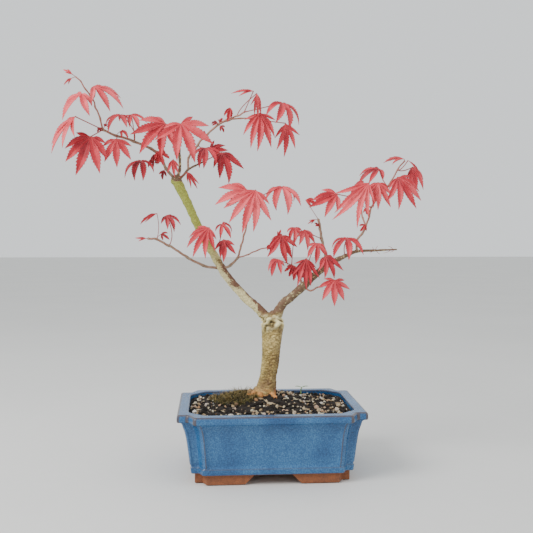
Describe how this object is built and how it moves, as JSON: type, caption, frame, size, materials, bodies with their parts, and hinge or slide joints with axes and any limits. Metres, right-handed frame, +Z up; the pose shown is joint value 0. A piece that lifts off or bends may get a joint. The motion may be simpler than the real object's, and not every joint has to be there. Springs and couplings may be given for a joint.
{
  "type": "potted bonsai tree",
  "caption": "Small red-leaved maple bonsai with a forked trunk and drooping palmate leaves, in a rectangular glazed pot with indented corners and feet.",
  "frame": {"origin": "middle of the whole plant's bounding box, on the surface that the pot's feet stand on", "axes": "+Z up, +X along the pot's long side towards the lower limb, -Y towards the front of the pot"},
  "size_m": [0.3878, 0.1596, 0.4252],
  "materials": {
    "glazed_pot": "glossy mottled blue glaze",
    "drain_mesh": "moulded plastic net",
    "soil": null,
    "moss": null,
    "seedling": null,
    "bark": "pale knobbly bark",
    "shoot": "smooth young bark",
    "leaf": null
  },
  "bodies": {
    "root": {"pot": "glazed_pot", "drain_mesh_left": "drain_mesh", "drain_mesh_right": "drain_mesh", "soil": "soil", "moss": "moss", "seedling": "seedling", "trunk_and_limbs": "bark", "shoot_lower_left": "shoot", "shoot_mid_left": "shoot", "shoot_upper_left": "shoot", "shoot_upper_right": "shoot", "shoot_under_right": "shoot", "shoot_inner_right": "shoot", "shoot_centre": "shoot", "shoot_far_right": "shoot", "leaf_upper_left_tip_1": "leaf", "leaf_upper_left_tip_2": "leaf", "leaf_upper_left_1": "leaf", "leaf_upper_left_2": "leaf", "leaf_upper_left_3": "leaf", "leaf_upper_left_4": "leaf", "leaf_upper_left_5": "leaf", "leaf_upright_twig_1": "leaf", "leaf_upright_twig_2": "leaf", "leaf_upper_left_6": "leaf", "leaf_upright_twig_3": "leaf", "leaf_left_limb_1": "leaf", "leaf_back_twig_1": "leaf", "leaf_upper_right_1": "leaf", "leaf_back_twig_2": "leaf", "leaf_upper_right_in_1": "leaf", "leaf_upper_right_in_2": "leaf", "leaf_upper_right_out_1": "leaf", "leaf_upper_right_in_3": "leaf", "leaf_upper_right_out_2": "leaf", "leaf_lower_left_1": "leaf", "leaf_left_limb_2": "leaf", "leaf_left_limb_3": "leaf", "leaf_left_limb_4": "leaf", "leaf_mid_left_up_1": "leaf", "leaf_mid_left_up_2": "leaf", "leaf_mid_left_up_3": "leaf", "leaf_mid_left_out_1": "leaf", "leaf_inner_right_1": "leaf", "leaf_inner_right_2": "leaf", "leaf_centre_1": "leaf", "leaf_inner_right_3": "leaf", "leaf_right_limb_1": "leaf", "leaf_right_limb_2": "leaf", "leaf_right_limb_3": "leaf", "leaf_under_right_1": "leaf", "leaf_far_right_back_1": "leaf", "leaf_far_right_back_2": "leaf", "leaf_far_right_out_1": "leaf", "leaf_far_right_out_2": "leaf", "leaf_far_right_out_3": "leaf", "leaf_far_right_out_4": "leaf", "leaf_far_right_out_5": "leaf", "leaf_far_right_out_6": "leaf"}
  },
  "joints": []
}
